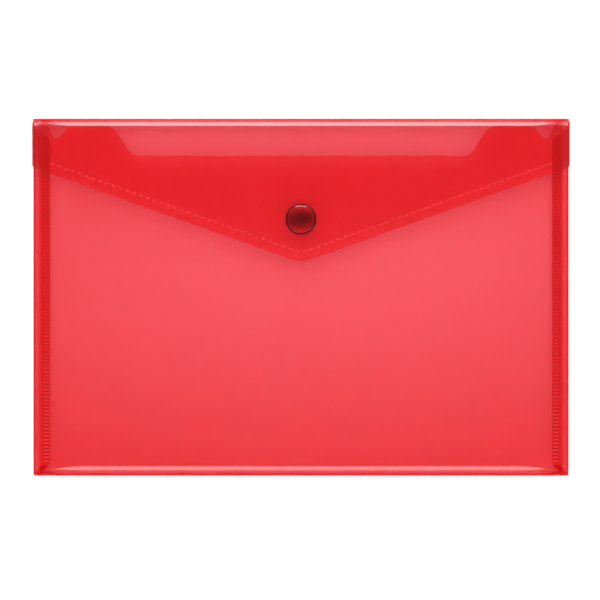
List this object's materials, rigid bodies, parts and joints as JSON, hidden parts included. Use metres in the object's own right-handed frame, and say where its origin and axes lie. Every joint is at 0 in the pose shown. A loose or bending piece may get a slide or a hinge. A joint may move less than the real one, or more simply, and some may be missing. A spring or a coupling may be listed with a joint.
{
  "type": "envelope document folder",
  "caption": "Translucent envelope folder with a pointed hinged flap, welded side seams, a thumb cut-out and a press stud.",
  "frame": {"origin": "centre of the footprint, on the surface that the back lies on", "axes": "+X along the width, +Y towards the fold that the flap hangs on, +Z out of the front"},
  "size_m": [0.2406, 0.16, 0.0107],
  "materials": {
    "translucent_sheet": "translucent satin film",
    "stud_plastic": "polished"
  },
  "bodies": {
    "pocket": {"back_panel": "translucent_sheet", "back_top_fold": "translucent_sheet", "bottom_fold_back": "translucent_sheet", "bottom_fold_front": "translucent_sheet", "front_panel": "translucent_sheet", "right_side_fold_front": "translucent_sheet", "left_side_fold_front": "translucent_sheet", "right_side_fold_back": "translucent_sheet", "left_side_fold_back": "translucent_sheet", "right_seam_flange": "translucent_sheet", "left_seam_flange": "translucent_sheet", "press_stud": "stud_plastic", "stud_rivet": "stud_plastic"},
    "flap": {"flap_top_fold": "translucent_sheet", "flap_panel": "translucent_sheet", "press_cap": "stud_plastic", "press_socket": "stud_plastic"}
  },
  "joints": [
    {"name": "flap_fold", "type": "hinge", "parent": "pocket", "child": "flap", "pos_m": [0, 0.08, 0.00435], "axis": [-1, 0, 0], "range_deg": [0, 177]}
  ]
}
